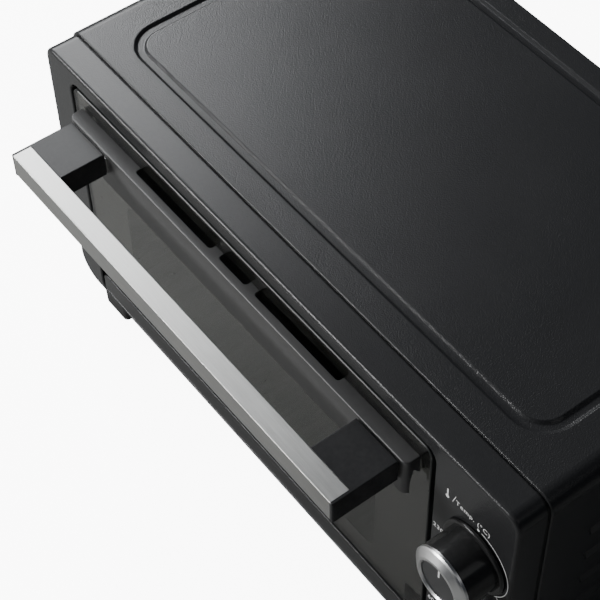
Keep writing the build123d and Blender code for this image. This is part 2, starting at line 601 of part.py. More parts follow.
# Hinge clips: plates bonded behind the glass, each with an ear beside the glass for its pin.
EAR_SHEET = 1.2
EAR_GAP = 0.3
for side, edge_x, sign in (("left", GLASS_LEFT, -1), ("right", GLASS_RIGHT, 1)):
    ear_inner = edge_x + sign * EAR_GAP
    ear_outer = ear_inner + sign * EAR_SHEET
    plate_end = edge_x - sign * 16.0
    with BuildPart() as clip:
        slab(
            ear_outer, plate_end, CLAMP_Y, CLAMP_Y + EAR_SHEET, GLASS_BOTTOM + 1, GLASS_BOTTOM + 20
        )
        corners = clip.edges().filter_by(Axis.Y).sort_by(Axis.X)
        fillet(corners[2:] if sign < 0 else corners[:2], 3.0)
        with BuildSketch(side_on(min(ear_inner, ear_outer))):
            with Locations((HINGE_Y - 0.9, HINGE_Z)):
                RectangleRounded(10.0, 9.0, 3.0)
        extrude(amount=EAR_SHEET)
        rod((edge_x - 5, HINGE_Y, HINGE_Z), (edge_x + 5, HINGE_Y, HINGE_Z), PIN_R + 0.01, Mode.SUBTRACT)
    finish(clip.part, f"hinge_clip_{side}")

    wall_x = OPEN_LEFT if sign < 0 else OPEN_RIGHT
    with BuildPart() as pin:
        rod((ear_inner, HINGE_Y, HINGE_Z), (wall_x + sign * 14, HINGE_Y, HINGE_Z), PIN_R)
        chamfer(pin.edges(), 0.4)
    finish(pin.part, f"hinge_pin_{side}")

    spring_x = wall_x + sign * (RETURN_SHEET + 2.0)
    with BuildPart() as spring:
        with BuildLine() as coil:
            Helix(1.5, 7.5, 3.6, center=(spring_x, HINGE_Y, HINGE_Z), direction=(sign, 0, 0))
        with BuildSketch(Plane(origin=coil.line @ 0, z_dir=coil.line % 0)):
            Circle(0.5)
        sweep(is_frenet=True)
    finish(spring.part, f"door_spring_{side}")

# ================================================================ controls
with BuildPart() as control_plate:
    slab(DIAL_X - 30, DIAL_X + 23, CONTROL_PLATE_Y, CONTROL_PLATE_Y + 1.5, BASE_Z + 12, TOP_Z - 10)
    for x in (DIAL_X - 25.0, DIAL_X + 18.5):
        for z in (BASE_Z + 56, TOP_Z - 16):
            rod((x, FRONT_Y + FRAME_SHEET, z), (x, CONTROL_PLATE_Y, z), 3.0)
    for z, radius in ((TEMPERATURE_Z, BUSH_R + 0.1), (TIMER_Z, BUSH_R + 0.1), (LAMP_Z, LAMP_BODY_R + 0.2)):
        rod((DIAL_X, FRONT_Y + 8, z), (DIAL_X, FRONT_Y + 20, z), radius, Mode.SUBTRACT)
finish(control_plate.part, "control_plate")

CASE_Y = CONTROL_PLATE_Y + 1.5


def dial_mechanism(centre_z, half_width, depth):
    """Switch case behind the control plate, with its bush and a blind bore for the shaft."""
    slab(
        DIAL_X - half_width, DIAL_X + half_width, CASE_Y, CASE_Y + depth,
        centre_z - half_width, centre_z + half_width,
    )
    rod((DIAL_X, FRONT_Y + 5.5, centre_z), (DIAL_X, CASE_Y, centre_z), BUSH_R)
    rod((DIAL_X, FRONT_Y, centre_z), (DIAL_X, CASE_Y + 12, centre_z), SHAFT_R + RUNNING, Mode.SUBTRACT)


with BuildPart() as thermostat:
    dial_mechanism(TEMPERATURE_Z, 17.0, 24.0)
    for x in (DIAL_X - 9, DIAL_X + 9):
        slab(x - 3, x + 3, CASE_Y + 24, CASE_Y + 34, TEMPERATURE_Z - 0.4, TEMPERATURE_Z + 0.4)
finish(thermostat.part, "thermostat")

with BuildPart() as timer:
    dial_mechanism(TIMER_Z, 22.0, 30.0)
    for x in (DIAL_X - 14, DIAL_X + 14):
        slab(x - 3, x + 3, CASE_Y + 30, CASE_Y + 40, TIMER_Z - 18.4, TIMER_Z - 17.6)
finish(timer.part, "timer")

with BuildPart() as timer_bell:
    with Locations(Plane(origin=(DIAL_X, CASE_Y + 30, TIMER_Z), z_dir=(0, 1, 0))):
        Cylinder(4.0, 5.0, align=(Align.CENTER, Align.CENTER, Align.MIN))
        with Locations((0, 0, 5)):
            Cone(16.0, 11.0, 8.0, align=(Align.CENTER, Align.CENTER, Align.MIN))
finish(timer_bell.part, "timer_bell")

with BuildPart() as shaft_nuts:
    for z in (TEMPERATURE_Z, TIMER_Z):
        with BuildSketch(Plane(origin=(DIAL_X, CONTROL_PLATE_Y, z), x_dir=(1, 0, 0), z_dir=(0, -1, 0))):
            RegularPolygon(8.0, 6)
            Circle(BUSH_R + 0.05, mode=Mode.SUBTRACT)
        extrude(amount=3.0)
finish(shaft_nuts.part, "shaft_nuts")

with BuildPart() as lamp_lens:
    rod((DIAL_X, FRONT_Y, LAMP_Z), (DIAL_X, FRONT_Y + 5, LAMP_Z), LAMP_R)
    rod((DIAL_X, FRONT_Y - 1.4, LAMP_Z), (DIAL_X, FRONT_Y, LAMP_Z), LAMP_R + 1.2)
    fillet(lamp_lens.edges().group_by(Axis.Y)[0], 0.8)
finish(lamp_lens.part, "lamp_lens")

with BuildPart() as lamp_body:
    rod((DIAL_X, FRONT_Y + 5, LAMP_Z), (DIAL_X, FRONT_Y + 26, LAMP_Z), LAMP_BODY_R)
finish(lamp_body.part, "lamp_body")

# Knobs: body with a thin skirt, bevelled ring, cap and shaft, all turning together.
KNOB_GAP = 0.6  # between the skirt and the panel
SKIRT_TOP = 2.8
RING_BACK = KNOB_REACH - 5.0
HUB_TOP = KNOB_REACH - 2.4
for dial, z in (("temperature", TEMPERATURE_Z), ("timer", TIMER_Z)):
    turning = Plane(origin=(DIAL_X, FRONT_Y, z), x_dir=(1, 0, 0), z_dir=(0, -1, 0))
    section = Plane(origin=(DIAL_X, FRONT_Y, z), x_dir=(1, 0, 0), z_dir=(0, 0, 1))
    axis = Axis((DIAL_X, FRONT_Y, z), (0, 1, 0))
    with BuildPart() as knob:
        with BuildSketch(section):
            with BuildLine():
                Line((0, -KNOB_GAP), (SKIRT_R - 0.4, -KNOB_GAP))
                Line((SKIRT_R - 0.4, -KNOB_GAP), (SKIRT_R, -KNOB_GAP - 0.4))
                Line((SKIRT_R, -KNOB_GAP - 0.4), (SKIRT_R, -SKIRT_TOP + 1.2))
                arc_middle = (SKIRT_R - 0.35, -SKIRT_TOP + 0.35)
                ThreePointArc((SKIRT_R, -SKIRT_TOP + 1.2), arc_middle, (SKIRT_R - 1.2, -SKIRT_TOP))
                Polyline(
                    (SKIRT_R - 1.2, -SKIRT_TOP),
                    (KNOB_R, -SKIRT_TOP),
                    (KNOB_R, -RING_BACK),
                    (CAP_R, -RING_BACK),
                    (CAP_R, -HUB_TOP),
                    (0, -HUB_TOP),
                    (0, -KNOB_GAP),
                )
            make_face()
        revolve(axis=axis)
        with BuildSketch(turning):
            Circle(SHAFT_R + 0.02)
        extrude(amount=15.0, mode=Mode.SUBTRACT)
    finish(knob.part, f"{dial}_knob")

    with BuildPart() as ring:
        with BuildSketch(section):
            with BuildLine():
                Polyline(
                    (CAP_R + 0.1, -RING_BACK),
                    (RING_R, -RING_BACK),
                    (RING_R, -RING_BACK - 1.4),
                    (RING_R - 0.9, -RING_BACK - 2.3),
                    (RING_R - 4.4, -KNOB_REACH + 0.2),
                    (RING_R - 5.2, -KNOB_REACH),
                    (RING_R - 6.0, -KNOB_REACH),
                    (CAP_R + 0.1, -KNOB_REACH + 1.0),
                    close=True,
                )
            make_face()
        revolve(axis=axis)
    finish(ring.part, f"{dial}_ring")

    with BuildPart() as cap:
        with BuildSketch(turning.offset(HUB_TOP)):
            Circle(CAP_R)
        extrude(amount=0.9)
        fillet(cap.edges().group_by(Axis.Y)[0], 0.4)
    finish(cap.part, f"{dial}_cap")

    with BuildPart() as shaft:
        rod((DIAL_X, FRONT_Y - 14, z), (DIAL_X, CASE_Y + 11, z), SHAFT_R)
        chamfer(shaft.edges(), 0.4)
    finish(shaft.part, f"{dial}_shaft")
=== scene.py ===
"""Looks of a compact countertop toaster oven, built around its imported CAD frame.

The casing, door, handle, dials, rack, heaters and crumb tray come from the frame and are dressed
here. Printed scales, dial pointers and the door's enamel border are made here as thin pieces of their
own. All lengths are in metres.
"""

import json
import logging
import math
from collections.abc import Sequence
from dataclasses import dataclass, field
from enum import Enum

import bmesh
import bpy
from mathutils import Euler, Matrix, Vector

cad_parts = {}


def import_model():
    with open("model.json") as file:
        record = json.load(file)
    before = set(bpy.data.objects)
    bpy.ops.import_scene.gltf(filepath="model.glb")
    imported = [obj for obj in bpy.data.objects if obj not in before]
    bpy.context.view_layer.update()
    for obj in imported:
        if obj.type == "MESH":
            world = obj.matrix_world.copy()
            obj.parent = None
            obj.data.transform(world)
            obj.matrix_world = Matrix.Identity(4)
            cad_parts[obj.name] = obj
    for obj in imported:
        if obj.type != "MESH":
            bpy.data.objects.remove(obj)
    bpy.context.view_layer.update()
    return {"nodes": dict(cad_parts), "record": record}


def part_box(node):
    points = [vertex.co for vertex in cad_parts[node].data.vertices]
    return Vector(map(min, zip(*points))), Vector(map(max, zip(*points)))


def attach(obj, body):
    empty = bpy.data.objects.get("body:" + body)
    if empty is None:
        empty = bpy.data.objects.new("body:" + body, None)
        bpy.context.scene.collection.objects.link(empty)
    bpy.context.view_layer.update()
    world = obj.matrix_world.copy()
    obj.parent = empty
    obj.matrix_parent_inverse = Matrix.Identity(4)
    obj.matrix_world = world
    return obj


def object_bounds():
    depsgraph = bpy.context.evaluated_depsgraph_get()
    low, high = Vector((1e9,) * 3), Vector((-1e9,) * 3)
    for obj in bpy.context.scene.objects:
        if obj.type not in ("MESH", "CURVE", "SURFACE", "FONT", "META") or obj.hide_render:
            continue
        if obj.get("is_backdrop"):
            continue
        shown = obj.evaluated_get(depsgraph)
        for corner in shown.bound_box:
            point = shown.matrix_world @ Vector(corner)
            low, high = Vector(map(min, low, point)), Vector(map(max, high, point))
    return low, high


MM = 0.001
Color = tuple[float, float, float]
Point = tuple[float, float, float]
log = logging.getLogger("toaster_oven")


class Relief(Enum):
    """Surface relief of a finish."""

    SMOOTH = "smooth"
    LEATHER = "leather"
    SATIN = "satin"
    BRUSHED_X = "brushed along the width"
    BRUSHED_Y = "brushed along the depth"
    ROLLED = "rolled sheet"
    COIL = "wire coil"


# Scratches are drawn out along the axis whose coordinate is scaled down.
DRAWN_OUT = {
    Relief.BRUSHED_X: (0.02, 1.0, 1.0),
    Relief.BRUSHED_Y: (1.0, 0.02, 1.0),
    Relief.ROLLED: (1.0, 0.12, 1.0),
}


# ---------------------------------------------------------------- shared effects
class EffectGroup:
    """A shader node group that is built once and placed in many materials."""

    name = "effect"
    inputs: Sequence[tuple[str, str, object]] = ()
    outputs: Sequence[tuple[str, str]] = ()

    def tree(self) -> bpy.types.NodeTree:
        """Return the group's tree, and build it on first use.

        Returns:
            The shared node tree.
        """
        known = bpy.data.node_groups.get(self.name)
        if known is not None:
            return known
        tree = bpy.data.node_groups.new(self.name, "ShaderNodeTree")
        for label, kind, value in self.inputs:
            socket = tree.interface.new_socket(label, in_out="INPUT", socket_type=f"NodeSocket{kind}")
            if value is not None:
                socket.default_value = value
        for label, kind in self.outputs:
            tree.interface.new_socket(label, in_out="OUTPUT", socket_type=f"NodeSocket{kind}")
        start, end = tree.nodes.new("NodeGroupInput"), tree.nodes.new("NodeGroupOutput")
        self.wire(Wiring(tree), start.outputs, end.inputs)
        return tree

    def wire(self, wiring: "Wiring", given: object, result: object) -> None:
        """Lay the group's nodes. Each effect has its own.

        Args:
            wiring: Maker of nodes and links.
            given: Sockets that the group is given.
            result: Sockets that the group fills.
        """
        raise NotImplementedError


@dataclass
class Wiring:
    """Short calls for nodes and links in one tree."""

    tree: bpy.types.NodeTree

    def link(self, source: object, target: object) -> None:
        """Link a socket to a socket."""
        self.tree.links.new(source, target)

    def feed(self, socket: object, value: object) -> None:
        """Link or set one input.

        Args:
            socket: The input socket.
            value: Another socket to link, or a plain value to set.
        """
        if isinstance(value, bpy.types.NodeSocket):
            self.link(value, socket)
        else:
            socket.default_value = value

    def group(self, effect: EffectGroup, **values: object) -> object:
        """Place an effect group.

        Args:
            effect: The effect.
            **values: Input values or sockets, with underscores for spaces.

        Returns:
            The outputs of the placed group.
        """
        node = self.tree.nodes.new("ShaderNodeGroup")
        node.node_tree = effect.tree()
        for label, value in values.items():
            self.feed(node.inputs[label.replace("_", " ")], value)
        return node.outputs

    def math(self, operation: str, first: object, second: object = 0.0) -> object:
        """Place a maths node.

        Args:
            operation: Name of the operation.
            first: First value or socket.
            second: Second value or socket.

        Returns:
            The result's socket.
        """
        node = self.tree.nodes.new("ShaderNodeMath")
        node.operation = operation
        self.feed(node.inputs[0], first)
        self.feed(node.inputs[1], second)
        return node.outputs[0]

    def weighed(self, first: object, first_weight: float, second: object, second_weight: float) -> object:
        """Add two values, each times its weight.

        Args:
            first: First value's socket.
            first_weight: Its weight.
            second: Second value's socket.
            second_weight: Its weight.

        Returns:
            The sum's socket.
        """
        parts = ((first, first_weight), (second, second_weight))
        return self.math("ADD", *(self.math("MULTIPLY", value, weight) for value, weight in parts))

    def ramp(self, value: object, low: float, high: float, to_low: float, to_high: float) -> object:
        """Map a value from one range to another, clamped.

        Args:
            value: The value's socket.
            low: Start of its range.
            high: End of its range.
            to_low: Result at the start.
            to_high: Result at the end.

        Returns:
            The result's socket.
        """
        node = self.tree.nodes.new("ShaderNodeMapRange")
        for label, number in (("From Min", low), ("From Max", high)):
            node.inputs[label].default_value = number
        self.feed(node.inputs["To Min"], to_low)
        self.feed(node.inputs["To Max"], to_high)
        self.link(value, node.inputs["Value"])
        return node.outputs["Result"]

    def mix(self, factor: object, first: object, second: object) -> object:
        """Mix two colours.

        Args:
            factor: Share of the second colour.
            first: First colour or socket.
            second: Second colour or socket.

        Returns:
            The mixed colour's socket.
        """
        node = self.tree.nodes.new("ShaderNodeMix")
        node.data_type = "RGBA"
        self.feed(node.inputs["Factor"], factor)
        for label, value in (("A", first), ("B", second)):
            socket = next(s for s in node.inputs if s.name == label and s.type == "RGBA")
            self.feed(socket, value)
        return next(s for s in node.outputs if s.type == "RGBA")

    def noise(self, where: object, scale: object, detail: float = 2.0, roughness: float = 0.5) -> object:
        """Place a noise texture.

        Args:
            where: Coordinates.
            scale: Cells per metre.
            detail: Number of octaves.
            roughness: Weight of the finer octaves.

        Returns:
            The noise value's socket.
        """
        node = self.tree.nodes.new("ShaderNodeTexNoise")
        node.inputs["Detail"].default_value = detail
        node.inputs["Roughness"].default_value = roughness
        self.link(where, node.inputs["Vector"])
        self.feed(node.inputs["Scale"], scale)
        return node.outputs["Fac"]

    def stretched(self, where: object, stretch: Sequence[float]) -> object:
        """Scale coordinates by a vector.

        Args:
            where: Coordinates.
            stretch: Factor along each axis.

        Returns:
            The scaled coordinates' socket.
        """
        node = self.tree.nodes.new("ShaderNodeVectorMath")
        node.operation = "MULTIPLY"
        self.link(where, node.inputs[0])
        node.inputs[1].default_value = tuple(stretch)
        return node.outputs[0]


class Mottle(EffectGroup):
    """Slow drift of colour and roughness, as handling and moulding leave it."""

    name = "mottle"
    inputs = (
        ("Where", "Vector", None),
        ("Color", "Color", (0.5, 0.5, 0.5, 1)),
        ("Roughness", "Float", 0.5),
        ("Amount", "Float", 0.1),
    )
    outputs = (("Color", "Color"), ("Roughness", "Float"))
    cloud_cells = 14.0
    speck_cells = 420.0
    cloud_weight = 0.65
    speck_weight = 0.35
    black_share = 0.5
    white_share = 0.12

    def wire(self, wiring: Wiring, given: object, result: object) -> None:
        """Lay the drift: a broad cloud and a fine speckle."""
        cloud = wiring.noise(given["Where"], self.cloud_cells, 3.0)
        speck = wiring.noise(given["Where"], self.speck_cells, 2.0)
        blend = wiring.weighed(cloud, self.cloud_weight, speck, self.speck_weight)
        drift = wiring.ramp(blend, 0.3, 0.7, -1.0, 1.0)
        swing = wiring.math("MULTIPLY", drift, given["Amount"])
        dark = wiring.mix(self.black_share, given["Color"], (0.0, 0.0, 0.0, 1))
        light = wiring.mix(self.white_share, given["Color"], (1.0, 1.0, 1.0, 1))
        toned = wiring.mix(wiring.math("ADD", 0.5, swing), dark, light)
        wiring.link(wiring.mix(0.5, toned, given["Color"]), result["Color"])
        gloss = wiring.math("MULTIPLY", given["Roughness"], wiring.math("ADD", 1.0, swing))
        wiring.link(gloss, result["Roughness"])


class LeatherGrain(EffectGroup):
    """Fine pebbled relief of a textured powder coat."""

    name = "leather_grain"
    inputs = (("Where", "Vector", None), ("Scale", "Float", 900.0))
    outputs = (("Height", "Float"),)
    smoothness = 0.6
    fine_scale = 1.7
    swell_scale = 0.3
    fine_weight = 0.5
    swell_weight = 0.05
    pebble_weight = 0.8

    def wire(self, wiring: Wiring, given: object, result: object) -> None:
        """Lay the pebbles: rounded cells, with finer noise and a low swell added to them."""
        cells = wiring.tree.nodes.new("ShaderNodeTexVoronoi")
        cells.feature = "SMOOTH_F1"
        cells.inputs["Smoothness"].default_value = self.smoothness
        wiring.link(given["Where"], cells.inputs["Vector"])
        wiring.link(given["Scale"], cells.inputs["Scale"])
        pebble = wiring.ramp(cells.outputs["Distance"], 0.05, 0.75, 1.0, 0.0)
        fine = wiring.noise(given["Where"], wiring.math("MULTIPLY", given["Scale"], self.fine_scale), 2.0)
        swell = wiring.noise(given["Where"], wiring.math("MULTIPLY", given["Scale"], self.swell_scale), 2.0)
        rough = wiring.weighed(fine, self.fine_weight, swell, self.swell_weight)
        raised = wiring.math("MULTIPLY", pebble, self.pebble_weight)
        wiring.link(wiring.math("ADD", raised, rough), result["Height"])


class Brushing(EffectGroup):
    """Long fine scratches, drawn out along one axis by its coordinates."""

    name = "brushing"
    inputs = (("Where", "Vector", None),)
    outputs = (("Height", "Float"), ("Streak", "Float"))
    band_scale = 0.22
    hair_weight = 0.7
    band_weight = 0.3

    def wire(self, wiring: Wiring, given: object, result: object) -> None:
        """Lay two sizes of scratch."""
        hair = wiring.noise(given["Where"], 1.0, 3.0, 0.65)
        band = wiring.noise(given["Where"], self.band_scale, 2.0, 0.5)
        both = wiring.weighed(hair, self.hair_weight, band, self.band_weight)
        wiring.link(both, result["Height"])
        wiring.link(wiring.ramp(both, 0.35, 0.65, 0.0, 1.0), result["Streak"])


class EdgeWear(EffectGroup):
    """Paler tone on convex edges, broken up by noise."""

    name = "edge_wear"
    inputs = (
        ("Where", "Vector", None),
        ("Color", "Color", (0.5, 0.5, 0.5, 1)),
        ("Worn", "Color", (0.8, 0.8, 0.8, 1)),
        ("Amount", "Float", 0.3),
    )
    outputs = (("Color", "Color"), ("Mask", "Float"))
    chip_cells = 160.0

    def wire(self, wiring: Wiring, given: object, result: object) -> None:
        """Lay the mask from the surface's convexity."""
        shape = wiring.tree.nodes.new("ShaderNodeNewGeometry")
        edge = wiring.ramp(shape.outputs["Pointiness"], 0.52, 0.62, 0.0, 1.0)
        broken = wiring.ramp(wiring.noise(given["Where"], self.chip_cells, 4.0), 0.35, 0.65, 0.2, 1.0)
        mask = wiring.math("MULTIPLY", wiring.math("MULTIPLY", edge, broken), given["Amount"])
        wiring.link(mask, result["Mask"])
        wiring.link(wiring.mix(mask, given["Color"], given["Worn"]), result["Color"])


class CoilBands(EffectGroup):
    """Close turns of resistance wire behind a milky tube, along the width."""

    name = "coil_bands"
    inputs = (("Where", "Vector", None), ("Color", "Color", (0.7, 0.7, 0.7, 1)))
    outputs = (("Color", "Color"), ("Height", "Float"))
    turns_scale = 70.0
    unevenness = 0.4
    wire_shade = 0.35
    wire_color = (0.16, 0.12, 0.1, 1)

    def wire(self, wiring: Wiring, given: object, result: object) -> None:
        """Lay the bands."""
        bands = wiring.tree.nodes.new("ShaderNodeTexWave")
        bands.wave_type = "BANDS"
        bands.bands_direction = "X"
        bands.inputs["Scale"].default_value = self.turns_scale
        bands.inputs["Distortion"].default_value = self.unevenness
        wiring.link(given["Where"], bands.inputs["Vector"])
        wiring.link(bands.outputs["Fac"], result["Height"])
        shade = wiring.math("MULTIPLY", bands.outputs["Fac"], self.wire_shade)
        wiring.link(wiring.mix(shade, given["Color"], self.wire_color), result["Color"])


# ---------------------------------------------------------------- finishes
@dataclass(frozen=True)
class Finish:
    """One finish: its name, its look, and the relief that it carries.

    The name is the record's slot for a CAD part, and a name of its own for the few finishes that have
    no slot. Grain is in cells per metre, depth and rounding are in metres.
    """

    slot: str
    color: Color
    roughness: float
    metallic: float = 0.0
    specular: float = 0.5
    relief: Relief = Relief.SMOOTH
    grain: float = 900.0
    depth: float = 0.02 * MM
    mottle: float = 0.12
    wear: float = 0.0
    worn: Color = (0.35, 0.35, 0.35)
    coat: float = 0.0
    coat_roughness: float = 0.08
    rounding: float = 0.0
    transmission: float = 0.0
    ior: float = 1.5
    # Emission in the finish's own colour: a lamp's own light for lamp_amber, painted light for the print ink.
    glow: float = 0.0
    streak_swing: float = 0.15
    streak_tone: float = 0.82

    def build(self) -> bpy.types.Material:
        """Make the finish's material.

        Returns:
            The node-based material.
        """
        material = bpy.data.materials.new(self.slot)
        material.use_nodes = True
        wiring = Wiring(material.node_tree)
        material.node_tree.nodes.clear()
        output = wiring.tree.nodes.new("ShaderNodeOutputMaterial")
        shader = wiring.tree.nodes.new("ShaderNodeBsdfPrincipled")
        wiring.link(shader.outputs["BSDF"], output.inputs["Surface"])
        where = wiring.tree.nodes.new("ShaderNodeTexCoord").outputs["Object"]
        height, color, roughness = self.relief_sockets(wiring, where)
        toned = wiring.group(Mottle(), Where=where, Color=color, Roughness=roughness, Amount=self.mottle)
        color = toned["Color"]
        if self.wear > 0:
            worn = (*self.worn, 1)
            color = wiring.group(EdgeWear(), Where=where, Color=color, Worn=worn, Amount=self.wear)["Color"]
        wiring.link(color, shader.inputs["Base Color"])
        wiring.link(toned["Roughness"], shader.inputs["Roughness"])
        plain = {
            "Metallic": self.metallic,
            "Specular IOR Level": self.specular,
            "Coat Weight": self.coat,
            "Coat Roughness": self.coat_roughness,
            "Transmission Weight": self.transmission,
            "IOR": self.ior,
        }
        for label, value in plain.items():
            shader.inputs[label].default_value = value
        # Glow in the surface's colour: real on a lamp, painted light on the print.
        if self.glow > 0:
            wiring.link(color, shader.inputs["Emission Color"])
            shader.inputs["Emission Strength"].default_value = self.glow
        self.shape_normal(wiring, height, shader)
        return material

    def relief_sockets(self, wiring: Wiring, where: object) -> tuple[object, object, object]:
        """Lay the relief's texture.

        Args:
            wiring: The material's wiring.
            where: Coordinates.

        Returns:
            Height, colour and roughness, where height may be None.
        """
        color: object = (*self.color, 1)
        roughness: object = self.roughness
        if self.relief is Relief.LEATHER:
            return wiring.group(LeatherGrain(), Where=where, Scale=self.grain)["Height"], color, roughness
        if self.relief is Relief.SATIN:
            return wiring.noise(where, self.grain, 3.0), color, roughness
        if self.relief in DRAWN_OUT:
            stretch = [factor * self.grain for factor in DRAWN_OUT[self.relief]]
            lines = wiring.group(Brushing(), Where=wiring.stretched(where, stretch))
            swing = self.streak_swing
            smooth, rough = self.roughness * (1 - swing), self.roughness * (1 + swing)
            roughness = wiring.ramp(lines["Streak"], 0.0, 1.0, smooth, rough)
            dark = tuple(self.streak_tone * part for part in self.color)
            color = wiring.mix(lines["Streak"], (*dark, 1), (*self.color, 1))
            return lines["Height"], color, roughness
        if self.relief is Relief.COIL:
            coil = wiring.group(CoilBands(), Where=where, Color=color)
            return coil["Height"], coil["Color"], roughness
        return None, color, roughness

    def shape_normal(self, wiring: Wiring, height: object, shader: bpy.types.Node) -> None:
        """Join the relief and the softened edges to the shader's normal.

        Args:
            wiring: The material's wiring.
            height: The relief's height, or None.
            shader: The surface shader.
        """
        normal = None
        if self.rounding > 0:
            soft = wiring.tree.nodes.new("ShaderNodeBevel")
            soft.samples = 4
            soft.inputs["Radius"].default_value = self.rounding
            normal = soft.outputs["Normal"]
        if height is not None:
            bump = wiring.tree.nodes.new("ShaderNodeBump")
            bump.inputs["Distance"].default_value = self.depth
            bump.inputs["Strength"].default_value = 1.0
            wiring.link(height, bump.inputs["Height"])
            if normal is not None:
                wiring.link(normal, bump.inputs["Normal"])
            normal = bump.outputs["Normal"]
        if normal is not None:
            wiring.link(normal, shader.inputs["Normal"])


FINISHES = (
    Finish("frame_coat", (0.0028, 0.0034, 0.0048), 0.24, specular=0.4, relief=Relief.LEATHER, grain=1300.0,
           depth=0.05 * MM, mottle=0.05, rounding=0.8 * MM),
    Finish("wrap_coat", (0.0028, 0.0034, 0.005), 0.24, specular=0.4, relief=Relief.LEATHER, grain=1250.0,
           depth=0.085 * MM, mottle=0.05, rounding=0.5 * MM),
    Finish("back_coat", (0.02, 0.02, 0.021), 0.5, relief=Relief.LEATHER, grain=820.0, depth=0.03 * MM,
           rounding=0.3 * MM, wear=0.15, worn=(0.1, 0.1, 0.1)),
    Finish("zinc_sheet", (0.52, 0.53, 0.54), 0.38, metallic=1.0, relief=Relief.ROLLED, grain=260.0,
           depth=0.006 * MM, mottle=0.2, rounding=0.2 * MM),
    Finish("liner_sheet", (0.45, 0.46, 0.47), 0.34, metallic=1.0, relief=Relief.ROLLED, grain=320.0,
           depth=0.008 * MM, mottle=0.25, rounding=0.2 * MM),
    Finish("heater_tube", (0.74, 0.73, 0.7), 0.22, relief=Relief.COIL, depth=0.1 * MM, coat=0.6),
    Finish("ceramic", (0.78, 0.75, 0.68), 0.62, relief=Relief.SATIN, grain=900.0, depth=0.02 * MM,
           mottle=0.1, wear=0.2, worn=(0.5, 0.46, 0.4)),
    Finish("screw_steel", (0.62, 0.62, 0.61), 0.26, metallic=1.0, relief=Relief.SATIN, grain=2400.0,
           depth=0.004 * MM, wear=0.2, worn=(0.8, 0.8, 0.8), rounding=0.15 * MM),
    Finish("tray_steel", (0.5, 0.5, 0.51), 0.3, metallic=1.0, relief=Relief.BRUSHED_Y, grain=1500.0,
           depth=0.006 * MM, mottle=0.2, rounding=0.2 * MM),
    Finish("rack_chrome", (0.72, 0.72, 0.73), 0.12, metallic=1.0, relief=Relief.SATIN, grain=600.0,
           depth=0.004 * MM, mottle=0.3),
    Finish("door_glass", (0.8, 0.8, 0.76), 0.03, specular=0.14, transmission=1.0, ior=1.5, mottle=0.04),
    Finish("rail_coat", (0.028, 0.028, 0.028), 0.42, specular=1.0, relief=Relief.SATIN, grain=1800.0,
           depth=0.01 * MM, wear=0.25, worn=(0.1, 0.1, 0.1), rounding=0.2 * MM),
    Finish("bracket_plastic", (0.006, 0.0063, 0.0075), 0.24, specular=0.2, relief=Relief.SATIN, grain=2200.0,
           depth=0.008 * MM, rounding=0.35 * MM, wear=0.15, worn=(0.08, 0.08, 0.085)),
    Finish("bar_aluminium", (0.66, 0.66, 0.645), 0.36, metallic=1.0, relief=Relief.BRUSHED_X, grain=4200.0,
           depth=0.012 * MM, mottle=0.06, rounding=0.3 * MM),
    Finish("spring_steel", (0.4, 0.4, 0.41), 0.24, metallic=1.0, relief=Relief.SATIN, grain=1500.0,
           depth=0.004 * MM),
    Finish("switch_case", (0.1, 0.1, 0.105), 0.45, relief=Relief.SATIN, grain=1600.0, depth=0.01 * MM,
           rounding=0.3 * MM),
    Finish("bell_steel", (0.6, 0.58, 0.54), 0.2, metallic=1.0, relief=Relief.SATIN, grain=500.0,
           depth=0.004 * MM, mottle=0.2),
    Finish("lamp_amber", (0.75, 0.2, 0.03), 0.18, relief=Relief.SATIN, grain=900.0, depth=0.01 * MM,
           coat=0.5, glow=0.15),
    Finish("lamp_case", (0.55, 0.53, 0.48), 0.5, relief=Relief.SATIN, grain=1200.0, depth=0.01 * MM),
    Finish("terminal_case", (0.62, 0.6, 0.54), 0.55, relief=Relief.SATIN, grain=1200.0, depth=0.015 * MM,
           rounding=0.3 * MM),
    Finish("gland_plastic", (0.02, 0.02, 0.021), 0.45, relief=Relief.SATIN, grain=1600.0, depth=0.012 * MM),
    Finish("knob_plastic", (0.003, 0.003, 0.0032), 0.17, specular=0.42, relief=Relief.SATIN, grain=500.0,
           depth=0.002 * MM),
    Finish("ring_chrome", (0.93, 0.93, 0.93), 0.3, metallic=1.0, relief=Relief.SATIN, grain=2400.0,
           depth=0.003 * MM, mottle=0.08),
    Finish("cap_plastic", (0.02, 0.021, 0.023), 0.36, relief=Relief.SATIN, grain=2000.0, depth=0.008 * MM),
    Finish("foot_rubber", (0.016, 0.016, 0.016), 0.66, relief=Relief.LEATHER, grain=1400.0,
           depth=0.03 * MM, rounding=0.4 * MM),
)
GROUND_EDGE = Finish("ground_edge", (0.02, 0.024, 0.023), 0.35, specular=0.3, relief=Relief.SATIN,
                     grain=2500.0, depth=0.01 * MM)
BORDER_ENAMEL = Finish("border_enamel", (0.004, 0.004, 0.0042), 0.3, relief=Relief.SATIN, grain=1200.0,
                       depth=0.004 * MM)
# The ink also glows a little (glow): painted light, so that the print reads bright white whatever light falls
# on it.
GLOWING_PRINT_INK = Finish("glowing_print_ink", (0.9, 0.9, 0.89), 0.55, relief=Relief.SATIN, grain=3000.0,
                   depth=0.006 * MM, mottle=0.08, glow=0.3)


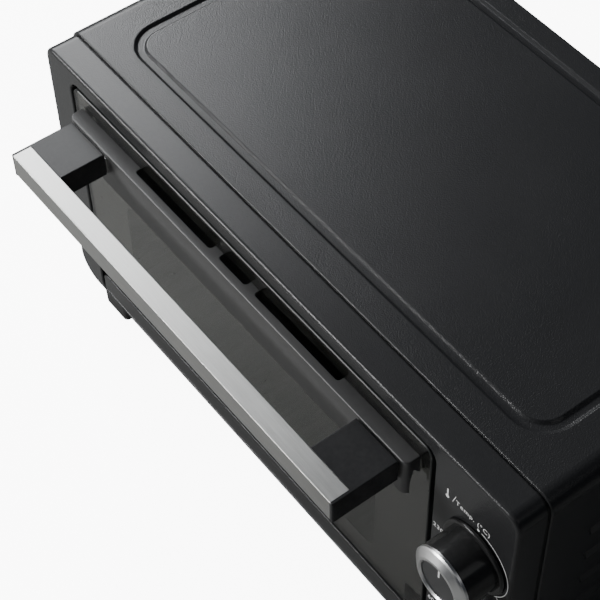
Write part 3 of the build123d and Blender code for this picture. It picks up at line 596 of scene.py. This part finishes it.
@dataclass
class Wardrobe:
    """Every material by slot, made once."""

    record: dict
    made: dict[str, bpy.types.Material] = field(default_factory=dict)

    def get(self, finish: Finish) -> bpy.types.Material:
        """Return a finish's material, and make it on first use."""
        if finish.slot not in self.made:
            self.made[finish.slot] = finish.build()
        return self.made[finish.slot]

    def dress_frame(self, nodes: dict[str, bpy.types.Object]) -> None:
        """Give each CAD node the material of its slot.

        Args:
            nodes: CAD objects by name.
        """
        by_slot = {finish.slot: finish for finish in FINISHES}
        for part in self.record["subparts"]:
            piece = nodes[part["node"]]
            material = self.get(by_slot[part["material_slot"]])
            piece.data.materials.clear()
            piece.data.materials.append(material)
            for face in piece.data.polygons:
                face.material_index = 0
            log.info("dressed %s in %s", part["node"], part["material_slot"])


# ---------------------------------------------------------------- meshes
def new_piece(name: str, mesh: bmesh.types.BMesh, material: bpy.types.Material) -> bpy.types.Object:
    """Turn a built mesh into an object of the scene.

    Args:
        name: The piece's name.
        mesh: Its mesh, which is freed.
        material: Its material.

    Returns:
        The object.
    """
    data = bpy.data.meshes.new(name)
    bmesh.ops.recalc_face_normals(mesh, faces=mesh.faces)
    mesh.to_mesh(data)
    mesh.free()
    data.materials.append(material)
    piece = bpy.data.objects.new(name, data)
    bpy.context.scene.collection.objects.link(piece)
    return piece


def placed(piece: bpy.types.Object, body: str) -> bpy.types.Object:
    """Fix a piece to a body, and report it.

    Args:
        piece: The object.
        body: Name of the body.

    Returns:
        The same object.
    """
    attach(piece, body)
    log.info("made %s on %s", piece.name, body)
    return piece


def rounded_loop(x0: float, x1: float, z0: float, z1: float, radius: float, steps: int = 6) -> list[Vector]:
    """Points round an upright rectangle with rounded corners.

    Args:
        x0: Left side.
        x1: Right side.
        z0: Bottom.
        z1: Top.
        radius: Corner radius.
        steps: Spans in each corner.

    Returns:
        Points in order, with y at zero.
    """
    points = []
    corners = ((x1 - radius, z1 - radius, 0), (x0 + radius, z1 - radius, 90),
               (x0 + radius, z0 + radius, 180), (x1 - radius, z0 + radius, 270))
    for x, z, turn in corners:
        for i in range(steps + 1):
            angle = math.radians(turn + 90 * i / steps)
            points.append(Vector((x + radius * math.cos(angle), 0, z + radius * math.sin(angle))))
    return points


def plate_between(
    outer: Sequence[Vector], inner: Sequence[Vector], front: float, back: float
) -> bmesh.types.BMesh:
    """Flat closed ring between two loops of equal length.

    Args:
        outer: Outer loop.
        inner: Inner loop.
        front: Depth of the front face.
        back: Depth of the rear face.

    Returns:
        The mesh.
    """
    mesh = bmesh.new()
    rings = []
    for loop in (outer, inner):
        for depth in (front, back):
            rings.append([mesh.verts.new((point.x, depth, point.z)) for point in loop])
    outer_front, outer_back, inner_front, inner_back = rings
    count = len(outer)
    for first, second in ((outer_front, inner_front), (inner_front, inner_back), (inner_back, outer_back),
                          (outer_back, outer_front)):
        for i in range(count):
            j = (i + 1) % count
            mesh.faces.new((first[i], first[j], second[j], second[i]))
    return mesh


def add_prism(mesh: bmesh.types.BMesh, outline: Sequence[Vector], front: float, back: float) -> None:
    """Add a thin upright plate to a mesh.

    Args:
        mesh: Mesh that grows.
        outline: Points in order, with x and z used.
        front: Depth of the front face.
        back: Depth of the rear face.
    """
    faces = [[mesh.verts.new((point.x, depth, point.z)) for point in outline] for depth in (front, back)]
    mesh.faces.new(faces[0])
    mesh.faces.new(list(reversed(faces[1])))
    for i in range(len(outline)):
        j = (i + 1) % len(outline)
        mesh.faces.new((faces[0][i], faces[1][i], faces[1][j], faces[0][j]))


ARC_STEP = 5.0  # degrees between the points of an arc
PINHOLE = 0.0001 * MM  # inner radius of a round mark


def clock_point(centre: Vector, radius: float, degrees: float) -> Vector:
    """Point at a clockwise angle from the top of an upright circle."""
    angle = math.radians(degrees)
    return centre + Vector((radius * math.sin(angle), 0, radius * math.cos(angle)))


def arc_band(centre: Vector, inner: float, outer: float, start: float, end: float) -> list[Vector]:
    """Outline of a band along an upright circle.

    Args:
        centre: Centre of the circle.
        inner: Inner radius.
        outer: Outer radius.
        start: First clockwise angle from the top, in degrees.
        end: Last angle.

    Returns:
        Points in order.
    """
    steps = max(2, int((end - start) / ARC_STEP))
    angles = [start + (end - start) * i / steps for i in range(steps + 1)]
    out = [clock_point(centre, outer, angle) for angle in angles]
    back = [clock_point(centre, inner, angle) for angle in reversed(angles)]
    return out + back


def round_mark(centre: Vector, radius: float) -> list[Vector]:
    """Outline of a round mark: a band about a pinhole, which stops one step short of a full turn."""
    return arc_band(centre, PINHOLE, radius, 0.0, 360.0 - ARC_STEP)


# ---------------------------------------------------------------- sub-assemblies
@dataclass(frozen=True)
class Scale:
    """What is printed around one dial. Angles are in degrees, clockwise from the top."""

    dial: str
    end_angle: float
    labels: dict[float, str]
    caption: str


@dataclass
class DialPrint:
    """Printed scale around one dial: an arc, ticks, numbers, a caption and a small sign."""

    scale: Scale
    centre: Vector
    face: float
    wardrobe: Wardrobe
    arc_radius: float = 24.4 * MM
    arc_start: float = 6.0
    line: float = 0.45 * MM
    dot_radius: float = 0.9 * MM
    tick: float = 2.2 * MM
    label_radius: float = 30.0 * MM
    capital: float = 3.7 * MM
    font_per_capital: float = 1.35
    letter_spacing: float = 1.12
    proud: float = 0.04 * MM
    caption_place: Point = (-4.5 * MM, 0.0, 28.8 * MM)
    bulb_place: Point = (-23.6 * MM, 0.0, 26.6 * MM)
    bulb_radius: float = 1.3 * MM
    stem_half: float = 0.5 * MM
    stem_base: float = 0.6 * MM
    stem_top: float = 6.2 * MM
    stroke_place: Point = (-19.6 * MM, 0.0, 26.4 * MM)
    stroke_way: Point = (2.0 * MM, 0.0, 6.4 * MM)
    stroke_half: float = 0.22 * MM

    def build(self) -> None:
        """Make the scale's marks and its lettering."""
        name = self.scale.dial
        mesh = bmesh.new()
        half = self.line / 2
        inner, outer = self.arc_radius - half, self.arc_radius + half
        self.strips(mesh, arc_band(self.centre, inner, outer, self.arc_start, self.scale.end_angle))
        self.print_on(mesh, round_mark(clock_point(self.centre, self.arc_radius, 0.0), self.dot_radius))
        for angle in self.scale.labels:
            start = clock_point(self.centre, self.arc_radius, angle)
            end = clock_point(self.centre, self.arc_radius + self.tick, angle)
            side = (end - start).normalized().cross(Vector((0, 1, 0))) * half
            self.print_on(mesh, [start - side, end - side, end + side, start + side])
        placed(new_piece(f"{name}_scale", mesh, self.wardrobe.get(GLOWING_PRINT_INK)), "root")
        for angle, text in self.scale.labels.items():
            self.letters(f"{name}_mark_{text}", text, clock_point(self.centre, self.label_radius, angle))
        self.letters(f"{name}_caption", self.scale.caption, self.centre + Vector(self.caption_place))
        self.sign()

    def print_on(self, mesh: bmesh.types.BMesh, outline: Sequence[Vector]) -> None:
        """Add a mark to a mesh, as a film on the panel's face.

        Args:
            mesh: Mesh that grows.
            outline: The mark's outline.
        """
        add_prism(mesh, outline, self.face - self.proud, self.face)

    def strips(self, mesh: bmesh.types.BMesh, outline: Sequence[Vector]) -> None:
        """Add an arc band as four-sided pieces, so that its faces stay flat and convex.

        Args:
            mesh: Mesh that grows.
            outline: The band's outline, out along one side and back along the other.
        """
        for i in range(len(outline) // 2 - 1):
            self.print_on(mesh, [outline[i], outline[i + 1], outline[-2 - i], outline[-1 - i]])

    def letters(self, name: str, text: str, middle: Vector) -> None:
        """Set one piece of lettering on the panel.

        Args:
            name: The piece's name.
            text: What it says.
            middle: Its middle.
        """
        curve = bpy.data.curves.new(name, "FONT")
        curve.body = text
        curve.size = self.capital * self.font_per_capital
        curve.align_x = "CENTER"
        curve.align_y = "CENTER"
        curve.space_character = self.letter_spacing
        curve.extrude = self.proud / 2
        curve.materials.append(self.wardrobe.get(GLOWING_PRINT_INK))
        piece = bpy.data.objects.new(name, curve)
        piece.location = (middle.x, self.face - self.proud / 2, middle.z)
        piece.rotation_euler = Euler((math.radians(90), 0, 0))
        bpy.context.scene.collection.objects.link(piece)
        placed(piece, "root")

    def sign(self) -> None:
        """Draw the small sign left of the caption: a bulb and stem, with a slanted stroke beside it."""
        mesh = bmesh.new()
        foot = self.centre + Vector(self.bulb_place)
        self.print_on(mesh, round_mark(foot, self.bulb_radius))
        half, base, top = self.stem_half, self.stem_base, self.stem_top
        stem = ((-half, base), (-half, top), (0, top + half), (half, top), (half, base))
        self.print_on(mesh, [foot + Vector((x, 0, z)) for x, z in stem])
        low = self.centre + Vector(self.stroke_place)
        high = low + Vector(self.stroke_way)
        across = Vector((self.stroke_half, 0, 0))
        self.print_on(mesh, [low - across, high - across, high + across, low + across])
        ink = self.wardrobe.get(GLOWING_PRINT_INK)
        placed(new_piece(f"{self.scale.dial}_sign", mesh, ink), "root")


@dataclass
class Dial:
    """One dial's pointer, printed on its cap."""

    name: str
    wardrobe: Wardrobe
    width: float = 1.1 * MM
    proud: float = 0.05 * MM
    tail_share: float = 0.35
    tip_share: float = 0.93

    def build(self) -> Vector:
        """Make the pointer.

        Returns:
            The dial's centre, at the cap's front face.
        """
        low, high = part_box(f"{self.name}_cap")
        centre = (low + high) / 2
        radius = (high.x - low.x) / 2
        centre.y = low.y
        mesh = bmesh.new()
        half = self.width / 2
        tail, tip = radius * self.tail_share, radius * self.tip_share
        outline = ((-half, tail), (half, tail), (half, tip - half), (0, tip), (-half, tip - half))
        points = [centre + Vector((x, 0, z)) for x, z in outline]
        add_prism(mesh, points, low.y - self.proud, low.y + self.proud)
        pointer = new_piece(f"{self.name}_pointer", mesh, self.wardrobe.get(GLOWING_PRINT_INK))
        placed(pointer, f"{self.name}_dial")
        return centre


@dataclass
class ControlPanel:
    """The closed strip right of the door: two dials and their scales."""

    wardrobe: Wardrobe
    scales: Sequence[Scale] = (
        Scale("temperature", 251.0, {135.0: "100", 172.0: "150", 212.0: "200", 251.0: "230"}, "Temp. (°C)"),
        Scale("timer", 300.0, {140.0: "15", 180.0: "30", 220.0: "45", 260.0: "60"}, "Min."),
    )

    def build(self) -> None:
        """Make both pointers and both scales."""
        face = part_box("front_frame")[0].y
        for scale in self.scales:
            centre = Dial(scale.dial, self.wardrobe).build()
            centre.y = face
            DialPrint(scale, centre, face, self.wardrobe).build()


@dataclass
class DoorBorder:
    """Black enamel fired onto the rear of the door glass, around its clear window."""

    wardrobe: Wardrobe
    pane: bpy.types.Object
    side: float = 44.0 * MM
    above: float = 65.5 * MM
    below: float = 18.0 * MM
    corner: float = 9.0 * MM
    outer_corner: float = 5.2 * MM
    inset: float = 0.8 * MM
    film: float = 0.12 * MM
    gap: float = 0.02 * MM
    facing: float = 0.95

    def build(self) -> None:
        """Make the enamel ring, and dress the pane's edges."""
        low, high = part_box("door_glass")
        outer = rounded_loop(low.x + self.inset, high.x - self.inset, low.z + self.inset, high.z - self.inset,
                             self.outer_corner)
        inner = rounded_loop(low.x + self.side, high.x - self.side, low.z + self.below, high.z - self.above,
                             self.corner)
        front = high.y + self.gap
        ring = plate_between(outer, inner, front, front + self.film)
        enamel = self.wardrobe.get(BORDER_ENAMEL)
        placed(new_piece("door_border", ring, enamel), "door")
        self.grind_edges()

    def grind_edges(self) -> None:
        """Give the pane's edges and their chamfers a ground finish."""
        pane = self.pane.data
        pane.materials.append(self.wardrobe.get(GROUND_EDGE))
        for face in pane.polygons:
            if abs(face.normal.y) < self.facing:
                face.material_index = 1


# ---------------------------------------------------------------- studio
@dataclass(frozen=True)
class Softbox:
    """One soft area light."""

    name: str
    azimuth: float
    elevation: float
    distance: float
    size: tuple[float, float]
    power: float
    color: Color = (1.0, 1.0, 1.0)

    def build(self, aim: Vector) -> None:
        """Place the light, turned to a point.

        Args:
            aim: The point it faces.
        """
        data = bpy.data.lights.new(self.name, "AREA")
        data.shape = "RECTANGLE"
        data.size, data.size_y = self.size
        data.energy = self.power
        data.color = self.color
        light = bpy.data.objects.new(self.name, data)
        turn, rise = math.radians(self.azimuth), math.radians(self.elevation)
        way = Vector((math.sin(turn) * math.cos(rise), math.cos(turn) * math.cos(rise), math.sin(rise)))
        light.location = aim + way * self.distance
        light.rotation_euler = (-way).to_track_quat("-Z", "Y").to_euler()
        bpy.context.scene.collection.objects.link(light)


@dataclass
class Studio:
    """Camera, floor, surroundings and lights.

    The floor and the room have two strengths: one that lights the object and shows in its reflections,
    and a brighter one that only the camera sees. So the floor shows next to no shadow. Angles are in
    degrees, lens and sensor in millimetres.
    """

    eye: Point = (0.49798, -0.42802, 0.92834)
    heading: float = 54.058
    pitch: float = -51.179
    roll: float = -1.690
    lens: float = 104.97
    sensor: float = 36.0
    clip: tuple[float, float] = (0.05, 60.0)
    floor_half: float = 4.0
    floor_tone: Color = (0.36, 0.36, 0.35)
    floor_seen: Color = (0.9, 0.9, 0.9)
    floor_glow_seen: float = 9.0
    room_tone: Color = (0.024, 0.027, 0.034)
    room_seen: Color = (9.0, 9.0, 9.0)
    lights: Sequence[Softbox] = (
        Softbox("key_softbox", -82.0, 36.0, 2.2, (1.35, 1.1), 42.0, (0.97, 0.985, 1.0)),
        Softbox("front_strip", -146.0, 20.0, 2.0, (1.0, 0.25), 30.0),
        Softbox("front_fill", 175.0, 30.0, 2.4, (1.6, 1.0), 2.0),
        Softbox("right_fill", 80.0, 40.0, 2.4, (0.9, 0.9), 1.5),
    )
    cavity_power: float = 14.0
    cavity_color: Color = (1.0, 0.97, 0.88)
    cavity_spread: tuple[float, float] = (0.8, 0.5)
    cavity_drop: float = 3.0 * MM

    def build(self) -> None:
        """Set up the whole studio."""
        self.camera()
        self.floor()
        self.surroundings()
        low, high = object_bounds()
        for light in self.lights:
            light.build((low + high) / 2)
        self.cavity_light()
        log.info("studio is ready")

    def cavity_light(self) -> None:
        """Hang a light under the liner's ceiling, so that the cavity isn't black.

        It belongs to the studio and stands for no part of the oven. The camera doesn't see it.
        """
        low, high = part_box("oven_liner")
        data = bpy.data.lights.new("cavity_fill", "AREA")
        data.shape = "RECTANGLE"
        wide, deep = self.cavity_spread
        data.size, data.size_y = (high.x - low.x) * wide, (high.y - low.y) * deep
        data.energy = self.cavity_power
        data.color = self.cavity_color
        light = bpy.data.objects.new("cavity_fill", data)
        light.location = ((low.x + high.x) / 2, (low.y + high.y) / 2, high.z - self.cavity_drop)
        light.visible_camera = False
        bpy.context.scene.collection.objects.link(light)

    def camera(self) -> None:
        """Place the camera and make it the scene's own."""
        data = bpy.data.cameras.new("camera")
        data.lens, data.sensor_width = self.lens, self.sensor
        data.clip_start, data.clip_end = self.clip
        camera = bpy.data.objects.new("camera", data)
        turns = (("Z", self.heading), ("X", 90.0 + self.pitch), ("Z", self.roll))
        pose = Matrix.Translation(self.eye)
        for axis, degrees in turns:
            pose = pose @ Matrix.Rotation(math.radians(degrees), 4, axis)
        camera.matrix_world = pose
        bpy.context.scene.collection.objects.link(camera)
        bpy.context.scene.camera = camera

    def floor(self) -> None:
        """Lay the pale floor, which looks brighter to the camera than it does in reflections."""
        mesh = bmesh.new()
        reach = self.floor_half
        corners = [mesh.verts.new((x * reach, y * reach, 0)) for x, y in ((-1, -1), (1, -1), (1, 1), (-1, 1))]
        mesh.faces.new(corners)
        material = bpy.data.materials.new("pale_floor")
        material.use_nodes = True
        wiring = Wiring(material.node_tree)
        shader = wiring.tree.nodes["Principled BSDF"]
        shader.inputs["Roughness"].default_value = 0.9
        shader.inputs["Specular IOR Level"].default_value = 0.1
        seen = wiring.tree.nodes.new("ShaderNodeLightPath").outputs["Is Camera Ray"]
        tone = wiring.mix(seen, (*self.floor_tone, 1), (*self.floor_seen, 1))
        wiring.link(tone, shader.inputs["Base Color"])
        shader.inputs["Emission Color"].default_value = (1, 1, 1, 1)
        wiring.link(wiring.math("MULTIPLY", seen, self.floor_glow_seen), shader.inputs["Emission Strength"])
        new_piece("floor", mesh, material)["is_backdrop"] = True

    def surroundings(self) -> None:
        """Light the room evenly: dim for the object's surfaces, bright where the camera sees it."""
        world = bpy.data.worlds.new("studio")
        bpy.context.scene.world = world
        world.use_nodes = True
        wiring = Wiring(world.node_tree)
        back = wiring.tree.nodes["Background"]
        seen = wiring.tree.nodes.new("ShaderNodeLightPath").outputs["Is Camera Ray"]
        tone = wiring.mix(seen, (*self.room_tone, 1), (*self.room_seen, 1))
        wiring.link(tone, back.inputs["Color"])


def main() -> None:
    """Build the studio and dress every part of the oven."""
    logging.basicConfig(level=logging.INFO, format="%(message)s")
    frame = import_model()
    Studio().build()
    wardrobe = Wardrobe(frame["record"])
    wardrobe.dress_frame(frame["nodes"])
    for assembly in (ControlPanel(wardrobe), DoorBorder(wardrobe, frame["nodes"]["door_glass"])):
        assembly.build()
        log.info("finished %s", type(assembly).__name__)


if __name__ == "__main__":
    main()
